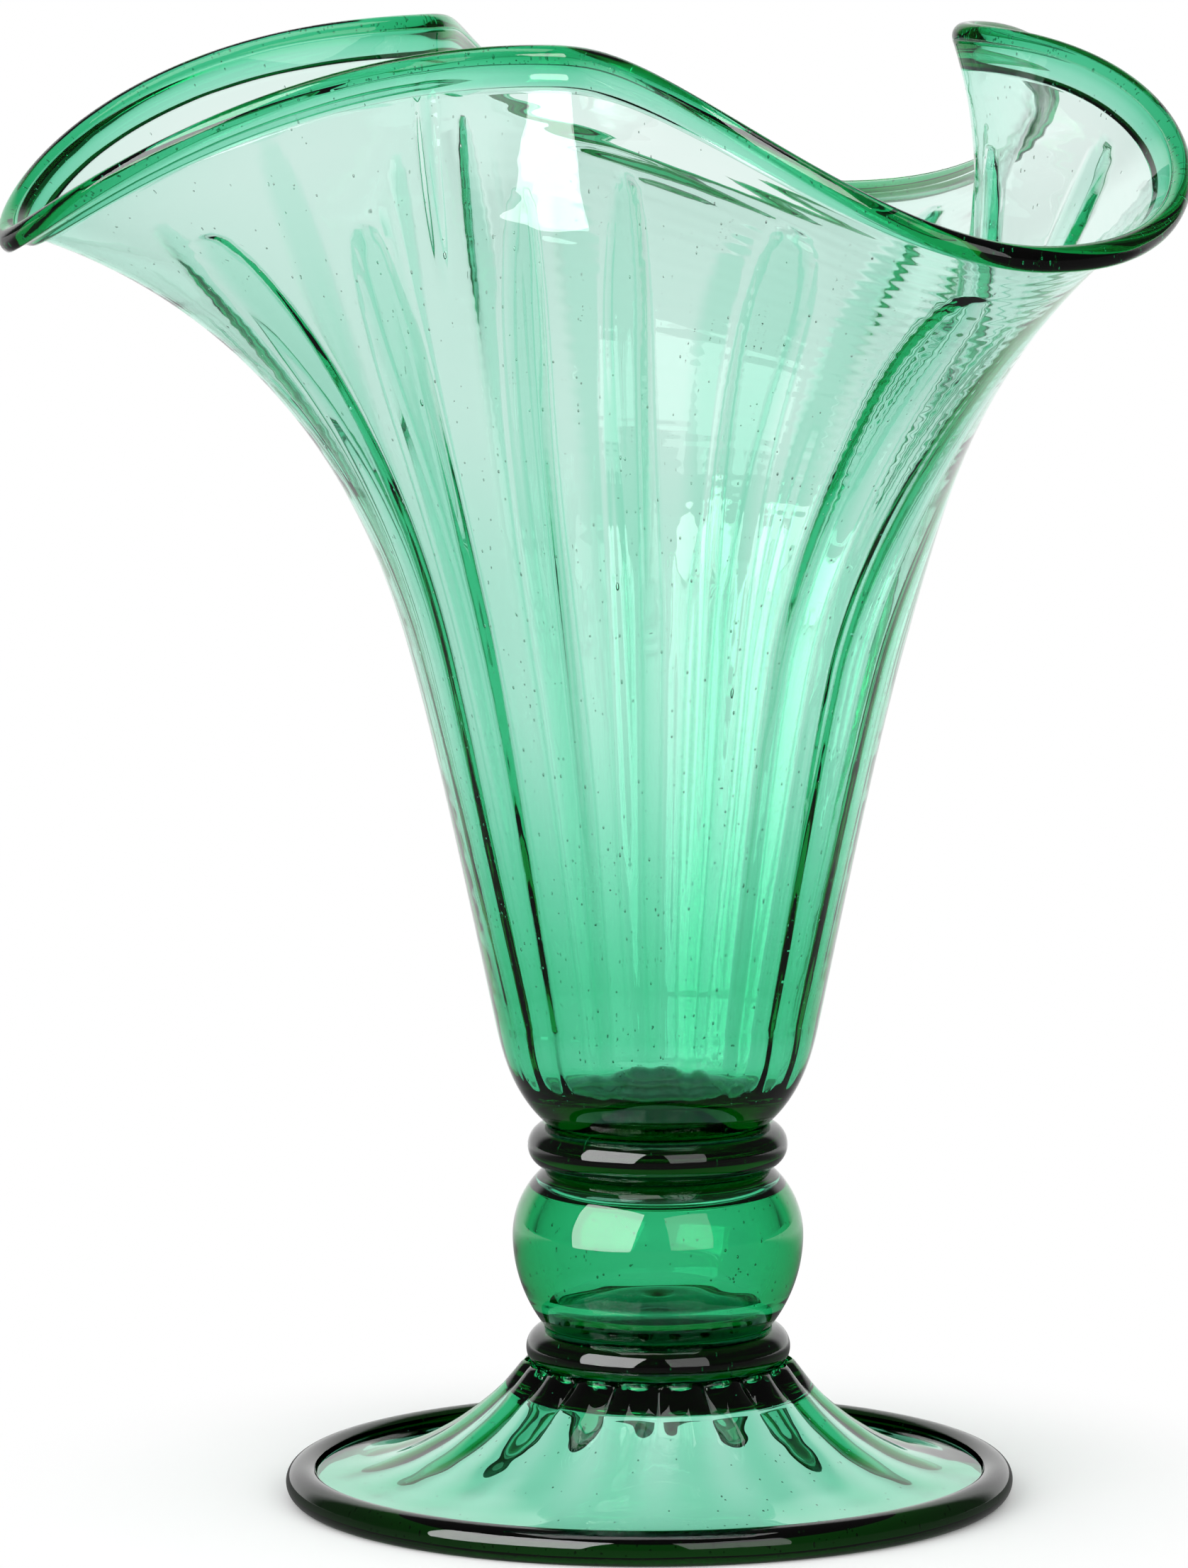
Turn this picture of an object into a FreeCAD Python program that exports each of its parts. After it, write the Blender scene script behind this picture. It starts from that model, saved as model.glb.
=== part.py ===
import FreeCAD, Part

import math
import os

os.makedirs("parts", exist_ok=True)

# A mouth-blown footed vase of clear green glass: a ruffled, ribbed bowl with a folded rim, on a
# stem of a hollow ball between two wafers, on a hollow-backed ribbed foot with a folded edge.
# Millimetres, +Z up, origin at the middle of the foot's ring, on the surface it stands on.
# Angles go counter-clockwise seen from above, from +X. The front of the vase faces -Y.

# Heights of the pieces, from the table up
foot_height = 28.0
lower_merese_height = 7.3
ball_height = 32.7
upper_merese_height = 9.0

# Foot: a spun cone that flattens to a brim, with a hollow back and a rolled edge
foot_radius = 74.2
foot_roll_radius = 3.6
foot_rest_width = 2.6
foot_seat_inset = 2.4
foot_brim_height = 5.2
foot_neck_radius = 26.4
foot_wall = 2.0
foot_crown = 4.8
foot_hollow_corner = 6.0
foot_hollow_drop = 1.5
foot_slope_ease = 2.2
foot_rib_depth = 1.8
foot_rib_reach_share = 0.85

# Lower wafer: its rim bulges out over the foot
lower_merese_radius = 26.9
lower_merese_rim_drop = 4.3
lower_merese_foot_radius = 26.0

# Ball: two arcs that meet at its widest place, hollow, with a thick crown that hangs inside
ball_radius = 29.6
ball_waist_height = 18.6
ball_top_radius = 22.8
ball_bottom_radius = 23.1
ball_wall = 4.8
ball_base = 6.2
ball_floor_dome = 2.8
ball_floor_corner = 4.0
ball_crown = 6.6
ball_groove_width = 1.2
ball_stub_corner = 2.0
ball_groove_depth = 3.0
ball_dimple_radius = 3.2
ball_dimple_depth = 1.4

# Upper wafer, thicker than the lower one
upper_merese_radius = 26.4
upper_merese_rim_rise = 5.2

# Bowl: its meridian is set by its lean from upright, along its length
bowl_neck_radius = 22.5
bowl_shoulder_length = 24.0
bowl_neck_angle = 50.0
bowl_wall_angle = 11.8
bowl_ruffle_angle = 15.0
bowl_shoulder_ease = 1.6
bowl_wall_ease = 3.0
bowl_straight_length = 76.0
bowl_ruffle_length = 126.4
bowl_floor = 7.5
bowl_floor_radius = 21.0
bowl_floor_rise = 5.0
bowl_wall = 1.3
bowl_rim_wall = 1.1
bowl_bottom_wall = 3.4
bowl_rib_depth = 1.2
bowl_rib_end = 32.0
bowl_rib_fade = 24.0

# Ruffle: three low lobes that lean out and three pinched folds that stand up between them.
# Each has its angle round the vase and its lean at the rim, in degrees.
lobe_turn_angles = (76.0, 195.0, 305.0)
lobe_lean_angles = (71.0, 73.5, 63.5)
lobe_side_eases = (1.3, 0.72, 1.12)
lobe_out_eases = (0.85, 1.12, 0.74)
fold_turn_angles = (8.0, 133.0, 252.0)
fold_lean_angles = (-17.0, -7.0, -11.0)
fold_up_ease = 2.4

# Folded rim: the lip turned over to the outside, with a round roll on top
rim_fold_width = 5.4
rim_fold_wall = 1.8
rim_roll_radius = 2.9
rim_swell_ease = 2.0

# Both mould-blown pieces have the same ribs
rib_count = 18

# The stem was set a little off the middle of the foot
stem_offset = 1.9

# How finely the closed rings and the sections are drawn
points_per_rib = 4
meridian_steps = 16
floor_corner_steps = 3
lip_steps = 3
roll_steps = 6
cap_share = 0.1
rim_run_shares = (0.35, 0.6)
shoulder_station_shares = (0.0, 0.15, 0.35, 0.6)
ruffle_station_shares = (0.0, 0.12, 0.25, 0.4, 0.55, 0.7, 0.85)

foot_seat_radius = foot_radius - foot_roll_radius - foot_seat_inset
foot_top = foot_height
ball_bottom = foot_top + lower_merese_height
ball_top = ball_bottom + ball_height
bowl_bottom = ball_top + upper_merese_height
bowl_length = bowl_shoulder_length + bowl_straight_length + bowl_ruffle_length
ring_points = rib_count * points_per_rib
ring_angles = [2 * math.pi * index / ring_points for index in range(ring_points)]


# Plain helpers

def point(radius, height, angle=0.0, centre=0.0):
    return FreeCAD.Vector(centre + radius * math.cos(angle), radius * math.sin(angle), height)


def smooth(share):
    """A soft step from 0 to 1."""
    share = min(max(share, 0.0), 1.0)
    return share * share * (3 - 2 * share)


def ring_curve(points):
    """The smooth closed curve through points that are evenly spaced round the vase."""
    curve = Part.BSplineCurve()
    turns = [index / len(points) for index in range(len(points) + 1)]
    curve.interpolate(Points=points, PeriodicFlag=True, Parameters=turns)
    return curve


def round_ring(radius, height, centre):
    return ring_curve([point(radius, height, angle, centre) for angle in ring_angles])


def skin(rings, stations, start=None, end=None):
    """The smooth face through closed rings at the given distances, or its stretch start to end."""
    columns = []
    for index in range(1, rings[0].NbPoles + 1):
        column = Part.BSplineCurve()
        column.interpolate(Points=[ring.getPole(index) for ring in rings], Parameters=stations)
        if start is not None:
            column.segment(start, end)
        columns.append(column)
    surface = Part.BSplineSurface()
    surface.buildFromPolesMultsKnots(
        [column.getPoles() for column in columns],
        rings[0].getMultiplicities(), columns[0].getMultiplicities(),
        rings[0].getKnots(), columns[0].getKnots(),
        True, False, rings[0].Degree, columns[0].Degree)
    return surface.toShape()


def disc(ring):
    return Part.Face(Part.Wire(ring.toShape()))


def solid_from(faces):
    shell = Part.Shell(faces)
    shell.sewShape()
    solid = Part.Solid(shell)
    if solid.Volume < 0:
        solid.reverse()
    return solid


def turned(edges):
    """The solid that a closed half outline in the XZ plane makes when it is turned about Z."""
    face = Part.Face(Part.Wire(edges))
    return face.revolve(FreeCAD.Vector(), FreeCAD.Vector(0, 0, 1), 360)


def arc(start, middle, end):
    return Part.Arc(point(*start), point(*middle), point(*end)).toShape()


def rounded(start, corner, end):
    """The quarter round that takes the corner off between two ends."""
    centre = (start[0] + end[0] - corner[0], start[1] + end[1] - corner[1])
    middle = [centre[k] + (corner[k] - centre[k]) * math.sqrt(0.5) for k in range(2)]
    return arc(start, middle, end)


def line(start, end):
    return Part.LineSegment(point(*start), point(*end)).toShape()


def rib_wave(angle):
    """1 on the crest of a rib and -1 in the flute beside it."""
    return math.cos(rib_count * angle)


# Foot

def foot_outline(share):
    """Radius and height of the foot's top, from the neck at 0 to the brim at 1."""
    radius = foot_neck_radius + (foot_seat_radius - foot_neck_radius) * share
    height = foot_brim_height + (foot_height - foot_brim_height) * (1 - share) ** foot_slope_ease
    return radius, height


def foot_slope(share):
    """The downhill slope of the foot's top, as an angle."""
    run = foot_seat_radius - foot_neck_radius
    fall = (foot_height - foot_brim_height) * foot_slope_ease * (1 - share) ** (foot_slope_ease - 1)
    return math.atan2(fall, run)


def foot_ring(share, depth, ribbed):
    """A ring of the foot that lies the given depth under its top."""
    radius, height = foot_outline(share)
    slope = foot_slope(share)
    centre = stem_offset * (1 - share)
    points = []
    for angle in ring_angles:
        rise = -depth
        if ribbed:
            fade = smooth((1 - share) / foot_rib_reach_share)
            rise += foot_rib_depth / 2 * fade * rib_wave(angle)
        around = radius + rise * math.sin(slope)
        points.append(point(around, height + rise * math.cos(slope), angle, centre))
    return ring_curve(points)


def make_foot():
    top_shares = (0.05, 0.12, 0.22, 0.35, 0.5, 0.65, 0.8, 1.0)
    under_shares = (0.8, 0.65, 0.5, 0.35, 0.22, 0.12)
    # The neck ring is flat, so that the wafer sits on it
    neck_points = []
    for angle in ring_angles:
        neck_radius = foot_neck_radius + foot_rib_depth / 2 * rib_wave(angle)
        neck_points.append(point(neck_radius, foot_height, angle, stem_offset))
    top_rings = [ring_curve(neck_points)]
    top_rings += [foot_ring(share, 0.0, True) for share in top_shares]
    roof = foot_height - foot_crown
    roof_radius = foot_neck_radius - foot_hollow_corner
    under_rings = [round_ring(foot_seat_radius, foot_brim_height - foot_wall, 0.0)]
    under_rings += [foot_ring(share, foot_wall, False) for share in under_shares]
    under_rings.append(round_ring(roof_radius, roof - foot_hollow_drop, stem_offset))
    under_rings.append(round_ring(roof_radius / 2, roof, stem_offset))
    under_rings.append(round_ring(roof_radius * cap_share, roof, stem_offset))
    return solid_from([
        disc(top_rings[0]),
        skin(top_rings, [0.0] + list(top_shares)),
        skin([top_rings[-1], under_rings[0]], [0, 1]),
        skin(under_rings, list(range(len(under_rings)))),
        disc(under_rings[-1]),
    ])


def make_foot_rim_fold():
    half_rest = foot_rest_width / 2
    middle = foot_radius - foot_roll_radius
    centre_height = math.sqrt(foot_roll_radius ** 2 - half_rest ** 2)
    seat_half = math.sqrt(foot_roll_radius ** 2 - foot_seat_inset ** 2)
    seat_top = (foot_seat_radius, centre_height + seat_half)
    seat_bottom = (foot_seat_radius, centre_height - seat_half)
    rest_inner = (middle - half_rest, 0)
    rest_outer = (middle + half_rest, 0)
    widest = (foot_radius, centre_height)

    def on_roll(turn):
        return (middle + foot_roll_radius * math.cos(turn),
                centre_height + foot_roll_radius * math.sin(turn))

    low_turn = math.atan2(rest_inner[1] - centre_height, rest_inner[0] - middle)
    seat_turn = math.atan2(seat_bottom[1] - centre_height, seat_bottom[0] - middle)
    return turned([
        line(rest_inner, rest_outer),
        arc(rest_outer, widest, seat_top),
        line(seat_top, seat_bottom),
        arc(seat_bottom, on_roll((low_turn + seat_turn) / 2), rest_inner),
    ])


# Stem

def ball_outline(height, wall=0.0):
    """Radius of the ball, or of its hollow, at a height over the ball's bottom."""
    rise = height - ball_waist_height
    if rise > 0:
        reach, drop = ball_height - ball_waist_height, ball_radius - ball_top_radius
    else:
        reach, drop = ball_waist_height, ball_radius - ball_bottom_radius
    sweep = (reach ** 2 + drop ** 2) / (2 * drop)
    return ball_radius - sweep + math.sqrt((sweep - wall) ** 2 - rise ** 2)


def make_lower_merese():
    return turned([
        line((0, foot_top), (lower_merese_foot_radius, foot_top)),
        arc((lower_merese_foot_radius, foot_top),
            (lower_merese_radius, ball_bottom - lower_merese_rim_drop),
            (ball_bottom_radius, ball_bottom)),
        line((ball_bottom_radius, ball_bottom), (0, ball_bottom)),
        line((0, ball_bottom), (0, foot_top)),
    ])


def make_upper_merese():
    return turned([
        line((0, ball_top), (ball_top_radius, ball_top)),
        arc((ball_top_radius, ball_top),
            (upper_merese_radius, ball_top + upper_merese_rim_rise),
            (bowl_neck_radius, bowl_bottom)),
        line((bowl_neck_radius, bowl_bottom), (0, bowl_bottom)),
        line((0, bowl_bottom), (0, ball_top)),
    ])


def make_ball():
    def outer(height):
        return ball_outline(height), ball_bottom + height

    def inner(height):
        return ball_outline(height, ball_wall), ball_bottom + height

    outside = turned([
        line((0, ball_bottom), outer(0)),
        arc(outer(0), outer(ball_waist_height / 2), outer(ball_waist_height)),
        arc(outer(ball_waist_height), outer((ball_waist_height + ball_height) / 2),
            outer(ball_height)),
        line(outer(ball_height), (0, ball_top)),
        line((0, ball_top), (0, ball_bottom)),
    ])
    # The floor is domed, with a small dimple in the middle where the iron was cracked off
    floor = ball_bottom + ball_base
    floor_edge = floor - ball_floor_dome
    wall_foot = ball_base - ball_floor_dome + ball_floor_corner
    floor_radius = inner(wall_foot)[0] - ball_floor_corner
    # The crown hangs into the ball as a stub, with a groove round it
    crown = ball_top - ball_crown
    wall_head = ball_height - ball_groove_depth * 2
    stub_radius = inner(wall_head)[0] - ball_groove_width
    groove_radius = inner(wall_head)[0] - ball_groove_width / 2
    stub_edge = stub_radius - ball_stub_corner
    hollow = turned([
        line((0, floor - ball_dimple_depth), (ball_dimple_radius, floor)),
        arc((ball_dimple_radius, floor),
            ((ball_dimple_radius + floor_radius) / 2, floor - ball_floor_dome / 4),
            (floor_radius, floor_edge)),
        rounded((floor_radius, floor_edge), (inner(wall_foot)[0], floor_edge),
                inner(wall_foot)),
        arc(inner(wall_foot), inner((wall_foot + ball_waist_height) / 2),
            inner(ball_waist_height)),
        arc(inner(ball_waist_height), inner((wall_head + ball_waist_height) / 2),
            inner(wall_head)),
        arc(inner(wall_head), (groove_radius, ball_top - ball_groove_depth),
            (stub_radius, crown + ball_stub_corner)),
        rounded((stub_radius, crown + ball_stub_corner), (stub_radius, crown),
                (stub_edge, crown)),
        line((stub_edge, crown), (0, crown)),
        line((0, crown), (0, floor - ball_dimple_depth)),
    ])
    return outside.cut(hollow)


# Bowl

def ruffle_at(angle):
    """The lobe and the fold on either side of an angle, and the share that the lobe has there."""
    marks = [(lobe_turn_angles[index], "lobe", index) for index in range(3)]
    marks += [(fold_turn_angles[index], "fold", index) for index in range(3)]
    marks.sort()
    turn = math.degrees(angle) % 360
    if turn < marks[0][0]:
        turn += 360
    marks.append((marks[0][0] + 360,) + marks[0][1:])
    for before, after in zip(marks, marks[1:]):
        if turn <= after[0]:
            break
    share = (1 - math.cos(math.pi * (turn - before[0]) / (after[0] - before[0]))) / 2
    if before[1] == "fold":
        fold, lobe = before[2], after[2]
    else:
        fold, lobe, share = after[2], before[2], 1 - share
    return lobe, fold, 1 - (1 - share) ** lobe_side_eases[lobe]


def bowl_lean(distance, ruffle):
    """How far the wall leans out from upright at a distance along the meridian."""
    if distance < bowl_shoulder_length:
        left = 1 - distance / bowl_shoulder_length
        return bowl_wall_angle + (bowl_neck_angle - bowl_wall_angle) * left ** bowl_shoulder_ease
    ruffle_start = bowl_shoulder_length + bowl_straight_length
    if distance < ruffle_start:
        way = (distance - bowl_shoulder_length) / bowl_straight_length
        return bowl_wall_angle + (bowl_ruffle_angle - bowl_wall_angle) * way ** bowl_wall_ease
    lobe, fold, share = ruffle
    way = (distance - ruffle_start) / bowl_ruffle_length
    out = (lobe_lean_angles[lobe] - bowl_ruffle_angle) * way ** lobe_out_eases[lobe]
    up = (fold_lean_angles[fold] - bowl_ruffle_angle) * way ** fold_up_ease
    return bowl_ruffle_angle + up + (out - up) * share


def bowl_meridian(angle, stations):
    """Radius, height and lean of the bowl's outside at each station, added up in small steps."""
    ruffle = ruffle_at(angle)
    radius = bowl_neck_radius
    height = bowl_bottom
    here = 0.0
    found = []
    for station in stations:
        step = (station - here) / meridian_steps
        for index in range(meridian_steps):
            lean = math.radians(bowl_lean(here + (index + 0.5) * step, ruffle))
            radius += step * math.sin(lean)
            height += step * math.cos(lean)
        here = station
        found.append((radius, height, math.radians(bowl_lean(station, ruffle))))
    return found


def beside(place, out, along=0.0):
    """A place moved square out of the wall, and along it."""
    radius, height, lean = place
    return (radius + out * math.cos(lean) + along * math.sin(lean),
            height - out * math.sin(lean) + along * math.cos(lean))


def rings_through(sections):
    """One ring for each place in the sections, which hold the same places at every angle."""
    rings = []
    for index in range(len(sections[0])):
        points = []
        for section, angle in zip(sections, ring_angles):
            radius, height = section[index]
            points.append(point(radius, height, angle, stem_offset))
        rings.append(ring_curve(points))
    return rings


def bowl_stations():
    straight_start = bowl_shoulder_length
    ruffle_start = straight_start + bowl_straight_length
    stations = [straight_start * share for share in shoulder_station_shares]
    stations += [straight_start, (straight_start + ruffle_start) / 2]
    stations += [ruffle_start + bowl_ruffle_length * share for share in ruffle_station_shares]
    return stations + [bowl_length - rim_fold_width, bowl_length]


def wall_at(distance):
    """The thickness of the bowl's wall, which thins from its bottom to its rim."""
    half = bowl_length / 2
    thin = bowl_bottom_wall + (bowl_wall - bowl_bottom_wall) * smooth(distance / half)
    return thin + (bowl_rim_wall - bowl_wall) * smooth(distance / half - 1)


def bowl_rib(distance, angle):
    """How far a rib stands in from the inside of the wall. The ribs run out below the rim."""
    grow = smooth(distance / bowl_shoulder_length)
    fade = smooth((bowl_length - bowl_rib_end - distance) / bowl_rib_fade)
    return bowl_rib_depth / 2 * grow * fade * (1 + rib_wave(angle))


def lengths_along(section):
    lengths = [0.0]
    for before, after in zip(section, section[1:]):
        lengths.append(lengths[-1] + math.dist(before, after))
    return lengths


def inner_section(distances, places, angle):
    """The bowl's inside at one angle: a domed floor, a round corner and the ribbed wall."""
    walls = []
    for distance, place in zip(distances, places):
        walls.append(beside(place, -wall_at(distance) - bowl_rib(distance, angle)))
    wall_radius, wall_height = walls[0]
    floor = bowl_bottom + bowl_floor
    corner = wall_radius - bowl_floor_radius
    floor_places = [(bowl_floor_radius * cap_share, floor + bowl_floor_rise),
                    (bowl_floor_radius / 2, floor + bowl_floor_rise / 2)]
    for index in range(floor_corner_steps):
        turn = math.pi / 2 * index / floor_corner_steps
        floor_places.append((bowl_floor_radius + corner * math.sin(turn),
                             wall_height - (wall_height - floor) * math.cos(turn)))
    return floor_places + walls


def make_bowl():
    """The bowl, and the two of its faces and the two of its rings that the folded rim shares."""
    stations = bowl_stations()
    wall_start = len(shoulder_station_shares)
    outside = [bowl_meridian(angle, stations) for angle in ring_angles]
    outer_rings = rings_through([[place[:2] for place in section] for section in outside])
    inside = [inner_section(stations[wall_start:], section[wall_start:], angle)
              for section, angle in zip(outside, ring_angles)]
    inner_rings = rings_through(inside)
    lip_face = skin(outer_rings, stations, stations[-2], stations[-1])
    end_face = skin([outer_rings[-1], inner_rings[-1]], [0, 1])
    bowl = solid_from([
        disc(outer_rings[0]),
        skin(outer_rings, stations, stations[0], stations[-2]),
        lip_face,
        end_face,
        skin(inner_rings, lengths_along(inside[0])),
        disc(inner_rings[0]),
    ])
    return bowl, [lip_face, end_face], [outer_rings[-2], inner_rings[-1]]


def fold_section(angle):
    """The outside of the folded lip: its round lower edge, its run up the wall and the roll."""
    roll_out = rim_roll_radius - bowl_rim_wall
    thickest = rim_roll_radius + roll_out
    lip = bowl_length - rim_fold_width
    lip_turns = [math.pi / 2 * index / lip_steps for index in range(lip_steps + 1)]
    distances = [lip + rim_fold_wall * (1 - math.cos(turn)) for turn in lip_turns]
    outs = [rim_fold_wall * math.sin(turn) for turn in lip_turns]
    run = rim_fold_width - rim_fold_wall
    for share in rim_run_shares:
        distances.append(lip + rim_fold_wall + run * share)
        outs.append(rim_fold_wall + (thickest - rim_fold_wall) * share ** rim_swell_ease)
    places = bowl_meridian(angle, distances + [bowl_length])
    section = [beside(place, out) for place, out in zip(places, outs)]
    for index in range(roll_steps + 1):
        turn = math.pi * index / roll_steps
        section.append(beside(places[-1], roll_out + rim_roll_radius * math.cos(turn),
                              rim_roll_radius * math.sin(turn)))
    return section


def make_bowl_rim_fold(shared_faces, shared_rings):
    sections = [fold_section(angle) for angle in ring_angles]
    rings = rings_through(sections)
    rings[0], rings[-1] = shared_rings
    return solid_from([skin(rings, lengths_along(sections[0]))] + shared_faces)


def save(name, shape):
    shape.exportStep("parts/" + name + ".step")
    print(name, "valid" if shape.isValid() else "NOT VALID", "volume", round(shape.Volume))


def make_vase():
    stem = FreeCAD.Vector(stem_offset, 0, 0)
    bowl, shared_faces, shared_rings = make_bowl()
    save("foot", make_foot())
    save("foot_rim_fold", make_foot_rim_fold())
    save("lower_merese", make_lower_merese().translated(stem))
    save("ball_knop", make_ball().translated(stem))
    save("upper_merese", make_upper_merese().translated(stem))
    save("bowl", bowl)
    save("bowl_rim_fold", make_bowl_rim_fold(shared_faces, shared_rings))


make_vase()
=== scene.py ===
import bmesh
import bpy
import math
import random
from mathutils import Matrix, Vector
import numpy as np


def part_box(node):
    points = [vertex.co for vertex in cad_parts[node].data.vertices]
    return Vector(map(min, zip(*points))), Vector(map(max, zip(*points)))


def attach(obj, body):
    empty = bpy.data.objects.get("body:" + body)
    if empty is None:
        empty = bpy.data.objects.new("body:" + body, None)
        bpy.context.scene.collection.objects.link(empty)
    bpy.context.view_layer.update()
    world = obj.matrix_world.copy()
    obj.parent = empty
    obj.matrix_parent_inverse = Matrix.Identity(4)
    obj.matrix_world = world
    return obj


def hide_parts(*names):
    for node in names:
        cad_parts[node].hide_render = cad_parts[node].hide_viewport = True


# A mouth-blown footed vase of clear green glass, dressed in detail round its fixed frame.
# Sizes are in millimetres, and become metres where a mesh is made. Those of the floor and the
# lights are in metres from the start.
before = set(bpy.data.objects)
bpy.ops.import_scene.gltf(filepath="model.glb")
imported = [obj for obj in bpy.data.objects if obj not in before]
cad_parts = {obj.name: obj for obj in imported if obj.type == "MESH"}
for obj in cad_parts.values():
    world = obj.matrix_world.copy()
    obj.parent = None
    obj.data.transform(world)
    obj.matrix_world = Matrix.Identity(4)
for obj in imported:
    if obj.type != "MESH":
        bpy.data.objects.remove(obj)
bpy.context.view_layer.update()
random.seed(7)

mm = 0.001

# Heights of the pieces, read from the frame
def base_of(node):
    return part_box(node)[0].z / mm


foot_top = base_of("lower_merese")
ball_bottom = base_of("ball_knop")
ball_top = base_of("upper_merese")
bowl_bottom = base_of("bowl")

# Foot
foot_radius = 74.2
foot_roll_radius = 3.6
foot_rest_width = 2.6
foot_seat_inset = 2.4
foot_brim_height = 5.2
foot_neck_radius = 26.4
foot_wall = 2.0
foot_crown = 4.8
foot_hollow_corner = 6.0
foot_slope_ease = 2.2
foot_rib_depth = 1.8
foot_rib_low_share = 0.42
foot_rib_tip_reach = 0.16
foot_rib_reach = 0.85
foot_scallop_reach = 0.3
foot_scallop_ease = 0.8
foot_under_shares = (0.985, 0.12)
foot_top_shares = (0.99, 0.02)
foot_crown_share = 0.4
foot_swirl_height = 0.03
foot_swirl_shares = (0.0, 0.15, 0.85, 0.95)
foot_swirl_waves = 5
foot_swirl_twist = 9.0
foot_swirl_start = 1.3
foot_swirl_rows = 9
foot_swirl_bends = 3
foot_swirl_bend = 2.0

# Stem
lower_merese_radius = 26.9
lower_merese_rim_drop = 4.3
lower_merese_foot_radius = 26.0
ball_radius = 29.6
ball_waist_height = 18.6
ball_top_radius = 22.8
ball_bottom_radius = 23.1
ball_wall = 4.8
ball_base = 6.2
ball_floor_dome = 2.8
ball_floor_corner = 4.0
ball_crown = 6.6
ball_groove_width = 1.2
ball_stub_corner = 2.0
ball_groove_depth = 3.0
ball_dimple_radius = 3.2
ball_dimple_depth = 1.4
upper_merese_radius = 26.4
upper_merese_rim_rise = 5.2

# Bowl
bowl_neck_radius = 22.5
bowl_shoulder_length = 24.0
bowl_neck_angle = 50.0
bowl_wall_angle = 11.8
bowl_ruffle_angle = 15.0
bowl_shoulder_ease = 1.6
bowl_wall_ease = 3.0
bowl_straight_length = 76.0
bowl_ruffle_length = 126.4
bowl_floor = 7.5
bowl_floor_radius = 21.0
bowl_wall = 1.3
bowl_top_wall = 0.8
bowl_rim_wall = 1.1
bowl_bottom_wall = 5.0
bowl_wall_ease_down = 1.5
bowl_thinning_start = 104.0
bowl_thinning_reach = 52.0
bowl_rib_depth = 1.5
bowl_rib_low_share = 0.25
bowl_rib_swell_length = 140.0
bowl_rib_thinning_share = 0.5
bowl_rib_end = 15.0
bowl_rib_end_spread = 20.0
bowl_rib_weight = 0.7
bowl_rib_weight_spread = 0.6
bowl_front_rib_weight = 1.15
bowl_rib_cap = 40.0
bowl_rib_cap_ease = 2.2
bowl_rib_half_share = 0.16
bowl_rib_low_side = 5.6
bowl_rib_top_side = 3.2
bowl_rib_narrowing_start = 112.0
bowl_rib_narrowing_reach = 80.0
bowl_rib_side_most_share = 0.36
bowl_rib_side_least_share = 0.3
bowl_lip_reach = 14.0
bowl_rib_sway_share = 0.02
bowl_rib_sway_length = 60.0
bowl_thread_count = 74
bowl_thread_depth = 0.38
bowl_thread_half_width = 1.3
bowl_thread_low_start = -20.0
bowl_thread_runs = (60.0, 170.0)
bowl_thread_end_gaps = (14.0, 60.0)
bowl_thread_weights = (0.3, 1.0)
bowl_thread_faint_reach = 40.0
bowl_thread_faint_share = 0.45
bowl_thread_fade_in = 30.0
bowl_thread_fade_out = 20.0
bowl_floor_rise = 5.0
bowl_ripple_height = 0.012
bowl_ripple_lengths = (3.0, 5.1)
bowl_ripple_bends = (7, 11)
bowl_ripple_bend_sizes = (2.4, 2.0)
bowl_ripple_starts = (1.0, 0.0)
bowl_ripple_shares = (1.0, 0.7)
bowl_ripple_turn = 292.0
bowl_ripple_reach = 48.0
bowl_ripple_least_share = 0.25
bowl_ripple_fade_in = 30.0
bowl_ripple_fade_out = 8.0
bowl_fine_share = 0.55
bowl_fine_step = 0.5
bowl_floor_shares = (0.95, 0.9, 0.8, 0.7, 0.6, 0.5, 0.4, 0.3, 0.2, 0.1)
lip_inner_shares = (0.15, 0.4, 0.7)
ring_room = 0.3
streak_turn = 234.3
streak_start = 178.0
streak_end = 232.0
streak_weight = 3.4
lobe_turn_angles = (76.0, 195.0, 305.0)
lobe_lean_angles = (71.0, 73.5, 63.5)
lobe_side_eases = (1.3, 0.72, 1.12)
lobe_out_eases = (0.85, 1.12, 0.74)
fold_turn_angles = (8.0, 133.0, 252.0)
fold_lean_angles = (-17.0, -7.0, -11.0)
fold_up_ease = 2.4
rim_fold_width = 5.4
rim_fold_wall = 1.8
rim_roll_radius = 2.68
rim_swell_ease = 2.0

rib_count = 18
stem_offset = 1.9

foot_seat_radius = foot_radius - foot_roll_radius - foot_seat_inset

# A hair of room between pieces that are fused, so that their faces don't coincide
fuse_gap = 0.02

# How finely the pieces are drawn
around = rib_count * 24
bowl_steps = 240
lean_steps = 908
fold_steps = 8
lip_steps = 8
roll_steps = 20
bowl_corner_steps = 24
wafer_steps = 32
ball_steps = 64
ball_wall_steps = 40
ball_corner_steps = 12
ball_groove_steps = 24
ball_floor_steps = 16
ball_stub_steps = 8
foot_steps = 60
foot_crown_steps = 24
foot_roll_in_steps = 10
foot_roll_out_steps = 40

bowl_length = bowl_shoulder_length + bowl_straight_length + bowl_ruffle_length
bowl_fine_start = bowl_fine_share * bowl_length
angles = np.arange(around) * (2 * math.pi / around)
rib_wave = np.cos(rib_count * angles)
scallop_wave = 2 * np.abs(np.cos(rib_count * angles / 2)) ** foot_scallop_ease - 1


def smooth(share):
    share = np.clip(share, 0.0, 1.0)
    return share * share * (3 - 2 * share)


# Meshes

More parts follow.
